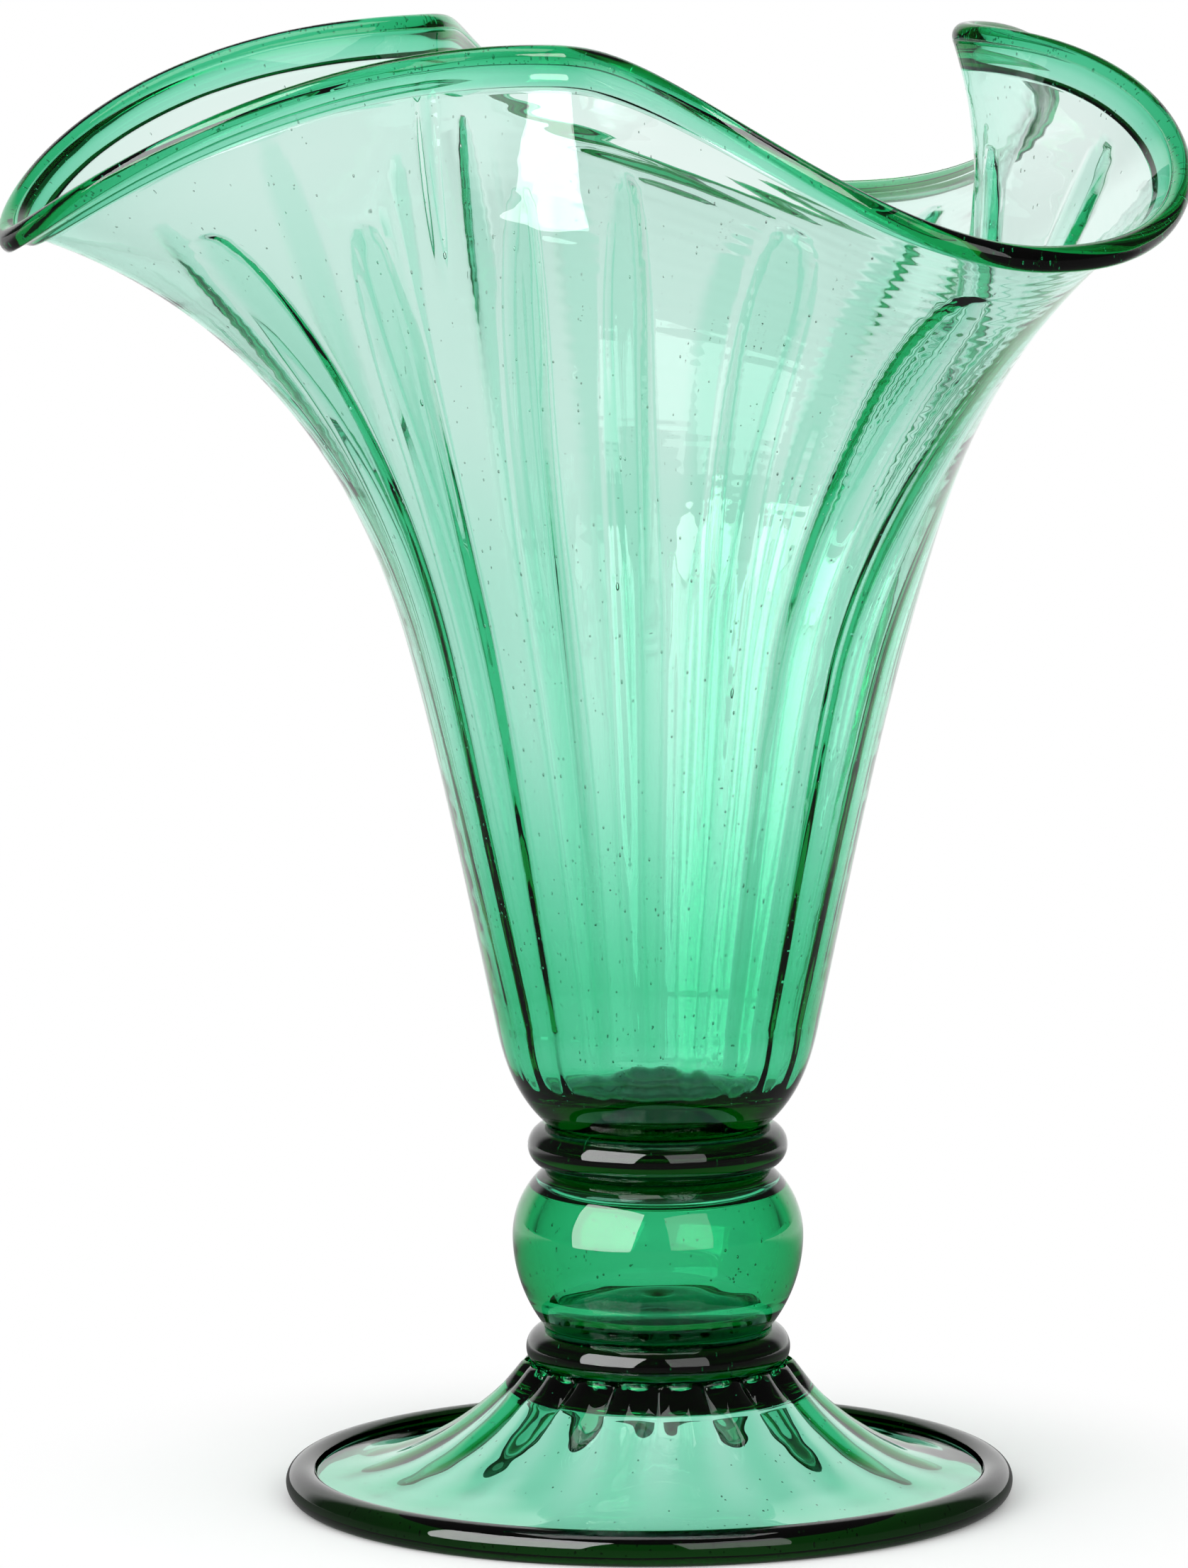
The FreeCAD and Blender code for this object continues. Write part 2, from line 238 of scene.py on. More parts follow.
def rings_mesh(name, rings, centre=stem_offset, joined=(), closed=True):
    """A solid skin through rings of (radius, height) arrays, in order round its section.

    A ring's third value, where it has one, is its own centre. A ring of one point is a pole.
    joined names the bands between ring and next ring that are fused to a neighbour.
    The last ring meets the first if closed.
    """
    count = max(len(ring[0]) for ring in rings)
    turn = np.arange(count) * (2 * math.pi / count)
    verts, starts, sizes = [], [], []
    for radius, height, *own in rings:
        middle = own[0] if own else centre
        starts.append(len(verts))
        sizes.append(len(radius))
        if len(radius) == 1:
            verts.append((middle * mm, 0.0, height[0] * mm))
            continue
        xs = (middle + radius * np.cos(turn)) * mm
        ys = radius * np.sin(turn) * mm
        verts.extend(zip(xs, ys, height * mm))
    faces, marks = [], []
    last = len(rings) if closed else len(rings) - 1
    for index in range(last):
        after = (index + 1) % len(rings)
        a, b = starts[index], starts[after]
        for k in range(count):
            n = (k + 1) % count
            if sizes[index] == 1:
                faces.append((a, b + n, b + k))
            elif sizes[after] == 1:
                faces.append((a + k, a + n, b))
            else:
                faces.append((a + k, a + n, b + n, b + k))
            marks.append(1.0 if index in joined else 0.0)
    return make_mesh(name, verts, faces, marks)


def make_mesh(name, verts, faces, marks):
    mesh = bpy.data.meshes.new(name)
    mesh.from_pydata([tuple(map(float, v)) for v in verts], [], faces)
    mesh.update()
    joined = mesh.attributes.new("joined", "FLOAT", "FACE")
    joined.data.foreach_set("value", np.array(marks, np.float32))
    mesh.shade_smooth()
    return add_object(name, mesh)


def add_object(name, data):
    thing = bpy.data.objects.new(name, data)
    bpy.context.scene.collection.objects.link(thing)
    return thing


def flat(radius, height):
    return np.full(around, float(radius)), np.full(around, float(height))


def pole(height):
    return np.zeros(1), np.full(1, float(height))


# Camera

# The sensor and the places are in millimetres, the roll in degrees and the clip ends in metres
frame_height_px = 2212
camera_focal_px = 14058
camera_sensor = 36.0
camera_place = (-10.8, -2000.0, 410.3)
camera_aim = (-10.8, 0.0, 146.3)
camera_roll = 0.2
camera_clip = (0.01, 100.0)


def make_camera():
    """A long lens at the place that the photo was taken from."""
    data = bpy.data.cameras.new("camera")
    camera = add_object("camera", data)
    data.sensor_fit = "AUTO"
    data.sensor_width = camera_sensor
    data.lens = camera_focal_px * data.sensor_width / frame_height_px
    data.clip_start, data.clip_end = camera_clip
    place = Vector(camera_place) * mm
    ahead = (Vector(camera_aim) * mm - place).normalized()
    right = ahead.cross(Vector((0, 0, 1))).normalized()
    up = right.cross(ahead)
    roll = math.radians(camera_roll)
    right, up = (right * math.cos(roll) - up * math.sin(roll),
                 up * math.cos(roll) + right * math.sin(roll))
    camera.matrix_world = Matrix((
        (right.x, up.x, -ahead.x, place.x),
        (right.y, up.y, -ahead.y, place.y),
        (right.z, up.z, -ahead.z, place.z),
        (0, 0, 0, 1)))
    bpy.context.scene.camera = camera


make_camera()


# Bowl

def ruffle_at(angle):
    """The lobe and the fold on either side of an angle, and the share that the lobe has there."""
    marks = [(turn, "lobe", index) for index, turn in enumerate(lobe_turn_angles)]
    marks += [(turn, "fold", index) for index, turn in enumerate(fold_turn_angles)]
    marks.sort()
    turn = math.degrees(angle) % 360
    if turn < marks[0][0]:
        turn += 360
    marks.append((marks[0][0] + 360,) + marks[0][1:])
    for before, after in zip(marks, marks[1:]):
        if turn <= after[0]:
            break
    share = (1 - math.cos(math.pi * (turn - before[0]) / (after[0] - before[0]))) / 2
    if before[1] == "fold":
        fold, lobe = before[2], after[2]
    else:
        fold, lobe, share = after[2], before[2], 1 - share
    return lobe, fold, 1 - (1 - share) ** lobe_side_eases[lobe]


ruffles = [ruffle_at(angle) for angle in angles]
lobe_lean = np.array([lobe_lean_angles[lobe] for lobe, fold, share in ruffles])[:, None]
lobe_ease = np.array([lobe_out_eases[lobe] for lobe, fold, share in ruffles])[:, None]
fold_lean = np.array([fold_lean_angles[fold] for lobe, fold, share in ruffles])[:, None]
lobe_share = np.array([share for lobe, fold, share in ruffles])[:, None]


def bowl_lean(distance):
    """The wall's lean in radians, one row for each angle."""
    left = np.clip(1 - distance / bowl_shoulder_length, 0, 1)
    shoulder = bowl_wall_angle + (bowl_neck_angle - bowl_wall_angle) * left ** bowl_shoulder_ease
    way = np.clip((distance - bowl_shoulder_length) / bowl_straight_length, 0, 1)
    wall = (bowl_ruffle_angle - bowl_wall_angle) * way ** bowl_wall_ease
    ruffle_start = bowl_shoulder_length + bowl_straight_length
    way = np.clip((distance - ruffle_start) / bowl_ruffle_length, 0, 1)
    out = (lobe_lean - bowl_ruffle_angle) * way ** lobe_ease
    up = (fold_lean - bowl_ruffle_angle) * way ** fold_up_ease
    return np.radians(shoulder + wall + up + (out - up) * lobe_share)


def bowl_meridians():
    """Radius and height all the way up the wall, one row for each angle."""
    step = bowl_length / lean_steps
    lean = bowl_lean((np.arange(lean_steps) * step + step / 2)[None, :])
    zero = np.zeros((around, 1))
    radius = bowl_neck_radius + np.hstack([zero, np.cumsum(step * np.sin(lean), axis=1)])
    height = bowl_bottom + np.hstack([zero, np.cumsum(step * np.cos(lean), axis=1)])
    return radius, height


meridian_radius, meridian_height = bowl_meridians()


def wall_place(distance, out=0.0, along=0.0):
    """Radius and height at every angle for one distance, moved square out of the wall and along it."""
    spot = distance / bowl_length * lean_steps
    low = min(int(spot), lean_steps - 1)
    share = spot - low
    radius = meridian_radius[:, low] * (1 - share) + meridian_radius[:, low + 1] * share
    height = meridian_height[:, low] * (1 - share) + meridian_height[:, low + 1] * share
    lean = bowl_lean(np.array([[distance]]))[:, 0]
    return (radius + out * np.cos(lean) + along * np.sin(lean),
            height - out * np.sin(lean) + along * np.cos(lean))


def wall_at(distance):
    """The glass is thick at the bottom, blown thin at the top, and thicker again at the lip."""
    down = (1 - smooth(distance / (bowl_length / 2))) ** bowl_wall_ease_down
    up = smooth((distance - bowl_thinning_start) / bowl_thinning_reach)
    lip = smooth((distance - bowl_length) / bowl_lip_reach + 1)
    wall = bowl_wall + (bowl_bottom_wall - bowl_wall) * down
    wall += (bowl_top_wall - bowl_wall) * up
    return wall + (bowl_rim_wall - bowl_top_wall) * lip


rib_ends = [bowl_length - bowl_rib_end - bowl_rib_end_spread * random.random()
            for index in range(rib_count)]
rib_sways = [2 * math.pi * random.random() for index in range(rib_count)]
rib_weights = [bowl_rib_weight + bowl_rib_weight_spread * random.random()
               for index in range(rib_count)]
rib_turns = [360 / rib_count * index for index in range(rib_count)]
# The ribs at the front: place in the round, angle and how far up the wall they end
front_ribs = ((10, 209.3, 205.0), (11, 224.7, 198.0), (12, 246.7, 202.0), (13, 265.4, 207.0),
              (14, 284.0, 211.0), (15, 302.0, 206.0), (16, 320.5, 212.0), (17, 338.7, 217.0))
for index, turn, end in front_ribs:
    rib_turns[index], rib_ends[index], rib_weights[index] = turn, end, bowl_front_rib_weight

# Fine threads run along the wall between and over the ribs: place round, start, end, weight
threads = [(streak_turn / 360 * rib_count, streak_start, streak_end, streak_weight)]
for index in range(bowl_thread_count):
    start = random.uniform(bowl_thread_low_start, bowl_fine_start)
    place = rib_count * random.random()
    end = min(start + random.uniform(*bowl_thread_runs),
              bowl_length - random.uniform(*bowl_thread_end_gaps))
    weight = random.uniform(*bowl_thread_weights)
    if start < bowl_thread_faint_reach:
        weight *= bowl_thread_faint_share
    threads.append((place, start, end, weight))


def beside_place(place):
    """How far round every angle is from a place, both counted in even rib spacings."""
    turn = angles * rib_count / (2 * math.pi)
    return np.abs((turn - place + rib_count / 2) % rib_count - rib_count / 2)


def bowl_rib(distance):
    """How far ribs and threads stand in from the wall. A rib sways and ends in a round cap."""
    rise = np.zeros(around)
    rib_width = 2 * math.pi * wall_place(distance)[0].mean() / rib_count
    narrow = smooth((distance - bowl_rib_narrowing_start) / bowl_rib_narrowing_reach)
    rib_side = bowl_rib_low_side + (bowl_rib_top_side - bowl_rib_low_side) * narrow
    rib_side = min(rib_side / rib_width, bowl_rib_side_most_share)
    for index in range(rib_count):
        sway = math.sin(distance / bowl_rib_sway_length * math.pi + rib_sways[index])
        place = rib_turns[index] * rib_count / 360 + bowl_rib_sway_share * sway
        past = min(max((distance - rib_ends[index] + bowl_rib_cap) / bowl_rib_cap, 0.0), 1.0)
        left = math.sqrt(1 - past * past)
        side = rib_side * max(left, bowl_rib_side_least_share)
        edge = beside_place(place) - bowl_rib_half_share * left + side / 2
        level = 1 - smooth(edge / side)
        rise = np.maximum(rise, level * rib_weights[index] * min(1.0, bowl_rib_cap_ease * left))
    rise *= bowl_rib_depth * (1 - bowl_rib_thinning_share * distance / bowl_length)
    for place, start, end, weight in threads:
        fade = (smooth((distance - start) / bowl_thread_fade_in)
                * smooth((end - distance) / bowl_thread_fade_out))
        if fade > 0:
            level = 1 - smooth(beside_place(place) * rib_width / bowl_thread_half_width)
            rise += bowl_thread_depth * weight * fade * level
    swell = smooth(distance / bowl_rib_swell_length)
    swell = bowl_rib_low_share + (1 - bowl_rib_low_share) * swell
    return smooth(distance / bowl_shoulder_length) * swell * rise


def bowl_ripple(distance):
    """Rings of unevenness inside the wall, strongest at the front right under the rim."""
    off = (np.degrees(angles) - bowl_ripple_turn + 180) % 360 - 180
    place = np.exp(-(off / bowl_ripple_reach) ** 2) + bowl_ripple_least_share
    fade = (smooth((distance - bowl_fine_start) / bowl_ripple_fade_in)
            * smooth((bowl_length - distance) / bowl_ripple_fade_out))
    rise = np.zeros(around)
    for length, bends, size, start, share in zip(bowl_ripple_lengths, bowl_ripple_bends,
                                                 bowl_ripple_bend_sizes, bowl_ripple_starts,
                                                 bowl_ripple_shares):
        bend = size * np.sin(bends * angles + start)
        rise += share * np.sin(distance / length * 2 * math.pi + bend)
    return bowl_ripple_height * place * fade * rise


def make_bowl():
    rings = [pole(bowl_bottom + fuse_gap)]
    rings.append((wall_place(0)[0], wall_place(0)[1] + fuse_gap))
    lip = bowl_length - rim_fold_width
    outer = [bowl_length * index / bowl_steps for index in range(1, bowl_steps)]
    outer = [distance for distance in outer if distance < lip - ring_room] + [lip]
    rings += [wall_place(distance) for distance in outer]
    joined = [0]
    for index in range(fold_steps + 1):
        joined.append(len(rings) - 1)
        rings.append(wall_place(lip + rim_fold_width * index / fold_steps, -fuse_gap))
    joined.append(len(rings) - 1)
    rings[-1] = wall_place(bowl_length, -fuse_gap, -fuse_gap)
    rings.append(wall_place(bowl_length, -bowl_rim_wall, -fuse_gap))
    # Inside, the rings stand closer in the upper bowl, where the ripples are
    fine_count = int((bowl_length - bowl_fine_start) / bowl_fine_step)
    fine = [bowl_fine_start + bowl_fine_step * index for index in range(fine_count)]
    inner = [distance for distance in outer
             if bowl_shoulder_length < distance < bowl_fine_start - ring_room]
    inner = list(reversed(inner + [distance for distance in fine if distance < lip + ring_room]))
    inner = [bowl_length - rim_fold_width * share for share in lip_inner_shares] + inner
    rings += [wall_place(d, -wall_at(d) - bowl_rib(d) - bowl_ripple(d)) for d in inner]
    wall_radius, wall_height = wall_place(bowl_shoulder_length, -wall_at(bowl_shoulder_length)
                                          - bowl_rib(bowl_shoulder_length))
    floor = bowl_bottom + bowl_floor
    for index in range(bowl_corner_steps + 1):
        turn = math.pi / 2 * (1 - index / bowl_corner_steps)
        rings.append((bowl_floor_radius + (wall_radius - bowl_floor_radius) * math.sin(turn),
                      wall_height - (wall_height - floor) * math.cos(turn)))
    # The floor stands up in the middle, where the iron pushed it
    for share in bowl_floor_shares:
        rings.append(flat(bowl_floor_radius * share, floor + bowl_floor_rise * smooth(1 - share)))
    rings.append(pole(floor + bowl_floor_rise))
    return rings_mesh("bowl_glass", rings, joined=joined, closed=False)


def make_rim_fold():
    roll_out = rim_roll_radius - bowl_rim_wall
    thickest = rim_roll_radius + roll_out
    lip = bowl_length - rim_fold_width
    run_start = lip + rim_fold_wall
    run = rim_fold_width - rim_fold_wall
    rings = [wall_place(lip)]
    for index in range(1, lip_steps + 1):
        turn = math.pi / 2 * index / lip_steps
        rings.append(wall_place(lip + rim_fold_wall * (1 - math.cos(turn)),
                                rim_fold_wall * math.sin(turn)))
    for index in range(1, fold_steps):
        share = index / fold_steps
        out = rim_fold_wall + (thickest - rim_fold_wall) * share ** rim_swell_ease
        rings.append(wall_place(run_start + run * share, out))
    for index in range(roll_steps + 1):
        turn = math.pi * index / roll_steps
        rings.append(wall_place(bowl_length, roll_out + rim_roll_radius * math.cos(turn),
                                rim_roll_radius * math.sin(turn)))
    joined = [len(rings) - 1]
    rings.append(wall_place(bowl_length))
    for index in range(1, fold_steps):
        joined.append(len(rings) - 1)
        rings.append(wall_place(bowl_length - rim_fold_width * index / fold_steps))
    joined.append(len(rings) - 1)
    return rings_mesh("bowl_rim_fold_glass", rings, joined=joined)


# Stem

def arc_points(start, middle, end, steps):
    """Points on the circle through three places, start and end among them."""
    ax, ay = start
    bx, by = middle
    cx, cy = end
    d = 2 * (ax * (by - cy) + bx * (cy - ay) + cx * (ay - by))
    ux = ((ax * ax + ay * ay) * (by - cy) + (bx * bx + by * by) * (cy - ay)
          + (cx * cx + cy * cy) * (ay - by)) / d
    uy = ((ax * ax + ay * ay) * (cx - bx) + (bx * bx + by * by) * (ax - cx)
          + (cx * cx + cy * cy) * (bx - ax)) / d
    radius = math.hypot(ax - ux, ay - uy)
    first = math.atan2(ay - uy, ax - ux)
    between = (math.atan2(by - uy, bx - ux) - first) % (2 * math.pi)
    last = (math.atan2(cy - uy, cx - ux) - first) % (2 * math.pi)
    if between > last:
        last -= 2 * math.pi
    return [(ux + radius * math.cos(first + last * k / steps),
             uy + radius * math.sin(first + last * k / steps)) for k in range(steps + 1)]


def turned_rings(places):
    return [pole(z) if r == 0 else flat(r, z) for r, z in places]


def arc_from(middle, radius, start, end, steps):
    """Points on a circle from one angle to another, without the first."""
    turns = [start + (end - start) * k / steps for k in range(1, steps + 1)]
    return [(middle[0] + radius * math.cos(turn), middle[1] + radius * math.sin(turn))
            for turn in turns]


def capped_mesh(name, side):
    """A turned piece with flat ends, both fused to a neighbour, round a side from low to high."""
    (bottom_radius, bottom), (top_radius, top) = side[0], side[-1]
    places = [(0, bottom), (bottom_radius / 2, bottom)] + side
    places += [(top_radius / 2, top), (0, top)]
    last = len(places) - 2
    return rings_mesh(name, turned_rings(places), joined=(0, 1, last - 1, last), closed=False)


def make_wafer(name, start, middle, end):
    """A wafer through three places of its side, with a hair of room at both ends."""
    side = arc_points(start, middle, end, wafer_steps)
    side[0] = side[0][0], start[1] + fuse_gap
    side[-1] = side[-1][0], end[1] - fuse_gap
    return capped_mesh(name, side)


def make_lower_merese():
    return make_wafer("lower_merese_glass", (lower_merese_foot_radius, foot_top),
                      (lower_merese_radius, ball_bottom - lower_merese_rim_drop),
                      (ball_bottom_radius, ball_bottom))


def make_upper_merese():
    return make_wafer("upper_merese_glass", (ball_top_radius, ball_top),
                      (upper_merese_radius, ball_top + upper_merese_rim_rise),
                      (bowl_neck_radius, bowl_bottom))


ball_height = ball_top - ball_bottom


def ball_outline(height, wall=0.0):
    rise = height - ball_waist_height
    if rise > 0:
        reach, drop = ball_height - ball_waist_height, ball_radius - ball_top_radius
    else:
        reach, drop = ball_waist_height, ball_radius - ball_bottom_radius
    sweep = (reach ** 2 + drop ** 2) / (2 * drop)
    return ball_radius - sweep + math.sqrt((sweep - wall) ** 2 - rise ** 2)


def make_ball():
    side = [(ball_outline(ball_height * k / ball_steps), ball_bottom + ball_height * k / ball_steps)
            for k in range(ball_steps + 1)]
    outside = capped_mesh("ball_knop_glass", side)

    def inner(height):
        return ball_outline(height, ball_wall), ball_bottom + height

    # The hollow, from the dimple in its floor round to the stub that hangs in from its top
    floor = ball_bottom + ball_base
    floor_edge = floor - ball_floor_dome
    wall_foot = ball_base - ball_floor_dome + ball_floor_corner
    floor_radius = inner(wall_foot)[0] - ball_floor_corner
    crown = ball_top - ball_crown
    wall_head = ball_height - ball_groove_depth * 2
    stub_radius = inner(wall_head)[0] - ball_groove_width
    groove_radius = inner(wall_head)[0] - ball_groove_width / 2
    stub_edge = stub_radius - ball_stub_corner
    places = [(0, floor - ball_dimple_depth),
              (ball_dimple_radius / 2, floor - ball_dimple_depth / 2)]
    places += arc_points((ball_dimple_radius, floor),
                         ((ball_dimple_radius + floor_radius) / 2, floor - ball_floor_dome / 4),
                         (floor_radius, floor_edge), ball_floor_steps)
    places += arc_from((floor_radius, floor_edge + ball_floor_corner), ball_floor_corner,
                       -math.pi / 2, 0, ball_corner_steps)
    places += [inner(wall_foot + (wall_head - wall_foot) * k / ball_wall_steps)
               for k in range(1, ball_wall_steps + 1)]
    places += arc_points(inner(wall_head), (groove_radius, ball_top - ball_groove_depth),
                         (stub_radius, crown + ball_stub_corner), ball_groove_steps)[1:]
    places += arc_from((stub_edge, crown + ball_stub_corner), ball_stub_corner,
                       0, -math.pi / 2, ball_stub_steps)
    places += [(stub_edge / 2, crown), (0, crown)]
    hollow = rings_mesh("ball_hollow", turned_rings(list(reversed(places))), closed=False)
    return join_pieces(outside, hollow)


def join_pieces(piece, *others):
    """Joins meshes into the first, so that an outside and a hollow are one body of glass."""
    mesh = bmesh.new()
    mesh.from_mesh(piece.data)
    for other in others:
        mesh.from_mesh(other.data)
        bpy.data.objects.remove(other)
    mesh.to_mesh(piece.data)
    mesh.free()
    return piece


# Foot

def foot_outline(share):
    radius = foot_neck_radius + (foot_seat_radius - foot_neck_radius) * share
    height = foot_brim_height + (foot_top - foot_brim_height) * (1 - share) ** foot_slope_ease
    return radius, height


def foot_slope(share):
    run = foot_seat_radius - foot_neck_radius
    fall = (foot_top - foot_brim_height) * foot_slope_ease * (1 - share) ** (foot_slope_ease - 1)
    return math.atan2(fall, run)


def foot_swirl(share):
    """Slow uneven waves that the spinning left in the foot."""
    rise_start, rise_end, fall_start, fall_end = foot_swirl_shares
    fade = (smooth((share - rise_start) / (rise_end - rise_start))
            * smooth((fall_end - share) / (fall_end - fall_start)))
    across = np.sin(foot_swirl_waves * angles + foot_swirl_twist * share + foot_swirl_start)
    bend = foot_swirl_bend * np.sin(foot_swirl_bends * angles)
    along = np.sin(foot_swirl_rows * share * math.pi + bend)
    return foot_swirl_height * fade * across * along


def foot_ring(share, depth, ribbed):
    """A ring of the foot, shifted towards the stem's axis as it climbs."""
    radius, height = foot_outline(share)
    slope = foot_slope(share)
    rise = np.full(around, -float(depth))
    if ribbed:
        fade = foot_rib_low_share * smooth((1 - share) / foot_rib_reach)
        fade += (1 - foot_rib_low_share) * smooth(1 - share / foot_rib_tip_reach)
        tip = smooth(1 - share / foot_scallop_reach)
        wave = rib_wave + (scallop_wave - rib_wave) * tip
        rise = rise + foot_rib_depth / 2 * fade * wave
        rise = rise + foot_swirl(share)
    return radius + rise * math.sin(slope), height + rise * math.cos(slope), stem_offset * (1 - share)


def make_foot():
    neck_radius = foot_neck_radius + foot_rib_depth / 2 * scallop_wave
    roof = foot_top - foot_crown
    middle_radius = (foot_neck_radius - foot_hollow_corner) * foot_crown_share
    under = [foot_ring(share, foot_wall, False) for share in np.linspace(*foot_under_shares, foot_steps)]
    edge_radius, edge_height = under[-1][:2]
    crown = []
    for k in range(1, foot_crown_steps + 1):
        turn = math.pi / 2 * k / foot_crown_steps
        crown.append((middle_radius + (edge_radius - middle_radius) * math.cos(turn),
                      edge_height + (roof - edge_height) * math.sin(turn)))
    brim = foot_seat_radius - fuse_gap
    rings = [pole(roof)] + list(reversed(crown)) + list(reversed(under))
    brim_band = len(rings)
    rings += [(*flat(brim, foot_brim_height - foot_wall), 0.0), (*flat(brim, foot_brim_height), 0.0)]
    rings += [foot_ring(share, 0.0, True) for share in np.linspace(*foot_top_shares, foot_steps)]
    neck_band = len(rings)
    rings += [(neck_radius, np.full(around, foot_top)), flat(foot_neck_radius / 2, foot_top),
              pole(foot_top)]
    return rings_mesh("foot_glass", rings, joined=(brim_band, neck_band, neck_band + 1),
                      closed=False)


def make_foot_rim_fold():
    """The roll round the foot's edge, flat where it rests and where it holds the brim."""
    half_rest = foot_rest_width / 2
    middle = foot_radius - foot_roll_radius
    height = math.sqrt(foot_roll_radius ** 2 - half_rest ** 2)
    seat_turn = math.acos(-foot_seat_inset / foot_roll_radius)
    rest_turn = math.asin(half_rest / foot_roll_radius)
    runs = ((-seat_turn, -math.pi / 2 - rest_turn, foot_roll_in_steps),
            (-math.pi / 2 + rest_turn, seat_turn, foot_roll_out_steps))
    places = []
    for start, end, steps in runs:
        for k in range(steps + 1):
            turn = start + (end - start) * k / steps
            places.append((middle + foot_roll_radius * math.cos(turn),
                           height + foot_roll_radius * math.sin(turn)))
    return rings_mesh("foot_rim_fold_glass", [flat(r, z) for r, z in places], centre=0.0,
                      joined=(len(places) - 1,))


# Node trees

def add_material(name):
    """A material and its empty tree."""
    material = bpy.data.materials.new(name)
    material.use_nodes = True
    material.node_tree.nodes.clear()
    return material, material.node_tree


def add_node(tree, kind, inputs=(), **settings):
    """A node whose inputs, by name or place, take plain values or the outputs of other nodes."""
    node = tree.nodes.new("ShaderNode" + kind)
    for name, value in settings.items():
        setattr(node, name, value)
    for key, value in dict(inputs).items():
        if isinstance(value, bpy.types.NodeSocket):
            tree.links.new(value, node.inputs[key])
        else:
            node.inputs[key].default_value = value
    return node


def worked_out(tree, operation, *values, clamp=False):
    inputs = dict(enumerate(values))
    return add_node(tree, "Math", inputs, operation=operation, use_clamp=clamp).outputs[0]


def mapped(tree, value, low, high):
    """low where the value is 0, high where it is 1, and even between."""
    inputs = {"Value": value, "To Min": low, "To Max": high}
    return add_node(tree, "MapRange", inputs).outputs["Result"]


def eased(tree, value, edges, low):
    """From low at the first edge softly up to 1 at the second."""
    inputs = {"Value": value, "From Min": edges[0], "From Max": edges[1], "To Min": low}
    return add_node(tree, "MapRange", inputs, interpolation_type="SMOOTHSTEP").outputs["Result"]


# Glass

glass_index = 1.5
clear_skin = {"Base Color": (1, 1, 1, 1), "Transmission Weight": 1.0, "Roughness": 0.0}
# The absorption colour of the glass, and how dense it is in each piece. The ring's and the fold's
# densities are raised above the rest of the glass as painted shade that darkens them
glass_pass_colour = (0.0625, 0.797, 0.5625, 1)
glass_density = 305.0
ball_glass_density = 405.0
foot_glass_density = 580.0
# Painted shade: the ring and the fold absorb more than the rest of the glass, which darkens them
ring_painted_shade_density = 2900.0
fold_painted_shade_density = 800.0
# The soft unevenness of the skin: its height, and how many waves it has to a metre
unevenness_height = 0.7
unevenness_rates = (18, 18, 70)


def green_glass(name, density):
    """Clear glass that is green in its depth, with no mirroring where it is fused."""
    material, tree = add_material(name)
    place = add_node(tree, "TexCoord").outputs["Object"]
    squeeze = add_node(tree, "Mapping", {"Vector": place, "Scale": unevenness_rates})
    waves = add_node(tree, "TexNoise", {"Vector": squeeze.outputs["Vector"],
                                        "Scale": 1.0, "Detail": 2.0})
    bump = add_node(tree, "Bump", {"Height": waves.outputs["Fac"], "Strength": 1.0,
                                   "Distance": unevenness_height * mm})
    joined = add_node(tree, "Attribute", attribute_name="joined").outputs["Fac"]
    shader = add_node(tree, "BsdfPrincipled", clear_skin)
    tree.links.new(bump.outputs["Normal"], shader.inputs["Normal"])
    tree.links.new(mapped(tree, joined, glass_index, 1.0), shader.inputs["IOR"])
    volume = add_node(tree, "VolumeAbsorption", {"Color": glass_pass_colour, "Density": density})
    add_node(tree, "OutputMaterial", {"Surface": shader.outputs["BSDF"],
                                      "Volume": volume.outputs["Volume"]})
    return material


glass = green_glass("clear_green_glass", glass_density)
glass_of = {
    "ball_knop": green_glass("ball_green_glass", ball_glass_density),
    "foot": green_glass("foot_green_glass", foot_glass_density),
    # The fold's and the ring's glass is denser than the rest, as painted shade
    "bowl_rim_fold": green_glass("fold_glass_painted_shade", fold_painted_shade_density),
    "foot_rim_fold": green_glass("ring_glass_painted_shade", ring_painted_shade_density),
}

pieces = {
    "bowl": make_bowl(),
    "bowl_rim_fold": make_rim_fold(),
    "upper_merese": make_upper_merese(),
    "ball_knop": make_ball(),
    "lower_merese": make_lower_merese(),
    "foot": make_foot(),
    "foot_rim_fold": make_foot_rim_fold(),
}
for node, piece in pieces.items():
    piece.data.materials.append(glass_of.get(node, glass))
    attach(piece, "root")
    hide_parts(node)


# Seeds and bubbles in the glass

seed_size_shares = (0.45, 1.0)
seed_reach_share = 0.8
bowl_seed_count = 2000
bowl_seed_radius = 0.2
bowl_seed_stretch = 2.5
bowl_seed_start = 6.0
bowl_seed_end_gap = 1.0
bowl_seed_depth_shares = (0.35, 0.65)
roll_seed_count = 700
stem_seed_radius = 0.24
roll_seed_stretch = 1.3
stem_seed_stretch = 1.5
wafer_seed_gap = 1.0
wafer_seed_shares = (0.3, 1.0)
lower_wafer_seeds = 90
lower_wafer_seed_room = 2.5
upper_wafer_seeds = 130
upper_wafer_seed_room = 4.5
ball_seed_count = 160
ball_seed_end_gap = 5.0
ball_seed_depth_shares = (0.2, 0.75)
foot_seed_count = 320
foot_seed_shares = (0.05, 0.97)
foot_seed_depth_shares = (0.55, 0.75)
foot_seed_stretch = 2.0
ring_seed_count = 420
bead_depth = 1.7
bead_half_sizes = (0.95, 0.95, 2.1)
crackle_count = 5
crackle_radius = 0.8
crackle_half_thickness = 0.06
crackle_width_share = 0.7
crackle_size_shares = (0.4, 1.0)
crackle_side_shares = (-0.3, 0.3)
crackle_insets = (0.6, 2.6)
crackle_drops = (0.8, 2.6)
crackle_rises = (0.2, 1.5)
# The bigger bubbles that show in the wall: distance up the wall, angle and half sizes
wall_bubbles = ((189.0, 235.4, (0.33, 0.33, 0.8)), (159.0, 226.7, (0.33, 0.33, 0.75)),
                (121.0, 262.0, (0.35, 0.35, 0.9)), (98.0, 288.0, (0.32, 0.32, 1.1)))


